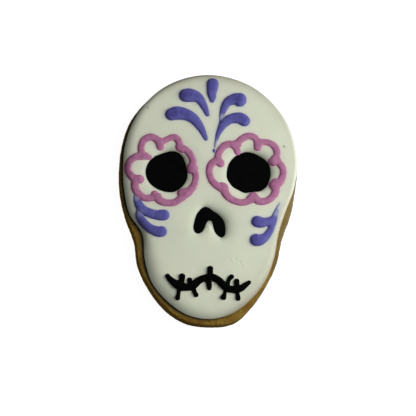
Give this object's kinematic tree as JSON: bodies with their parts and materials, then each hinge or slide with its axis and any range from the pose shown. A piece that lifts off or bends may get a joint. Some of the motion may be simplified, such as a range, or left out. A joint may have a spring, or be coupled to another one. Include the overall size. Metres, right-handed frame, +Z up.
{
  "type": "iced sugar-skull biscuit",
  "caption": "Flat skull-shaped biscuit with smooth white icing, black inlaid eyes and nose, looped pink petals round the eyes, purple curled strokes and a stitched mouth.",
  "frame": {"origin": "on the table under the middle of the biscuit's box, centre of the underside's extent", "axes": "+Z up out of the iced face, +Y towards the crown of the skull, +X to the right as the face is seen"},
  "size_m": [0.0706, 0.1016, 0.0106],
  "materials": {
    "baked_dough": "golden-brown baked biscuit, dry and finely pored",
    "white_icing": "smooth set royal icing, satin",
    "black_icing": "black set icing, fine grain",
    "pink_icing": "pink piped royal icing, satin",
    "purple_icing": "violet piped royal icing, satin"
  },
  "bodies": {
    "root": {"biscuit": "baked_dough", "white_icing": "white_icing", "eye_left": "black_icing", "eye_right": "black_icing", "nose": "black_icing", "petals_left": "pink_icing", "petals_right": "pink_icing", "crown_drop": "purple_icing", "crown_upper_left": "purple_icing", "crown_lower_left": "purple_icing", "crown_right": "purple_icing", "cheek_left": "purple_icing", "cheek_right": "purple_icing", "mouth": "black_icing"}
  },
  "joints": []
}
